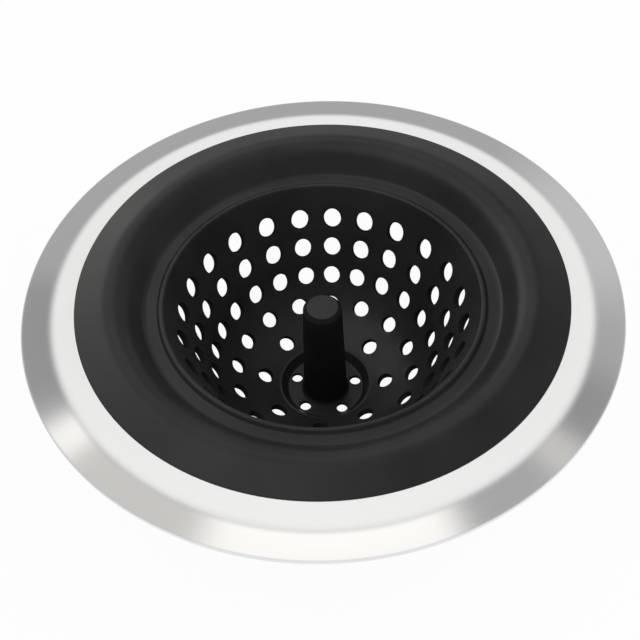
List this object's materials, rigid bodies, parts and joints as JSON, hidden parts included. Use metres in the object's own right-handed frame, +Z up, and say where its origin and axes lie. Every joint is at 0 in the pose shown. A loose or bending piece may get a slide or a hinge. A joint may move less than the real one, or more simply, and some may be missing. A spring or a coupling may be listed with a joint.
{
  "type": "sink strainer",
  "caption": "Round sink strainer: dished steel rim carrying a soft black perforated basket with a central pull post; the basket turns inside out for emptying.",
  "frame": {"origin": "centre of the foot's underside, the surface it stands on", "axes": "+Z up along the strainer's axis, +Y through a column of holes"},
  "size_m": [0.114, 0.114, 0.0343],
  "materials": {
    "rim_steel": "satin",
    "basket_silicone": "matte"
  },
  "bodies": {
    "rim": {"steel_rim": "rim_steel", "basket_collar": "basket_silicone", "basket_wall": "basket_silicone"},
    "floor": {"basket_floor": "basket_silicone", "pull_post": "basket_silicone"}
  },
  "joints": [
    {"name": "basket_pop", "type": "slide", "parent": "rim", "child": "floor", "axis": [0, 0, 1], "range_m": [0, 0.0514], "deforming": ["basket_wall"]}
  ]
}
